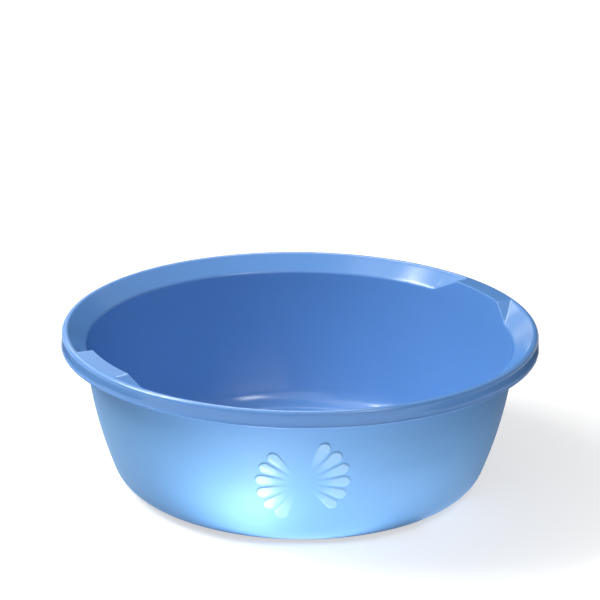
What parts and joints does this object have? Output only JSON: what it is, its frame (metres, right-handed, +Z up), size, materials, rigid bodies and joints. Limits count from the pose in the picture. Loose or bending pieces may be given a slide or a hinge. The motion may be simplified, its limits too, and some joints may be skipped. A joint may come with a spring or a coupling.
{
  "type": "plastic basin",
  "caption": "Round moulded plastic washing basin with a bowed wall, an overhanging rolled rim, flat grips on opposite sides and a petal ornament in relief.",
  "frame": {"origin": "centre of the base, on the surface that the basin stands on", "axes": "+Z up along the basin's axis; -Y towards the front, where the petals are; the grips lie 30 degrees from +X towards +Y and opposite it"},
  "size_m": [0.4, 0.4, 0.1345],
  "materials": {
    "blue_polypropylene": "glossy moulded polypropylene, mid blue and slightly translucent"
  },
  "bodies": {
    "root": {"basin": "blue_polypropylene"}
  },
  "joints": []
}
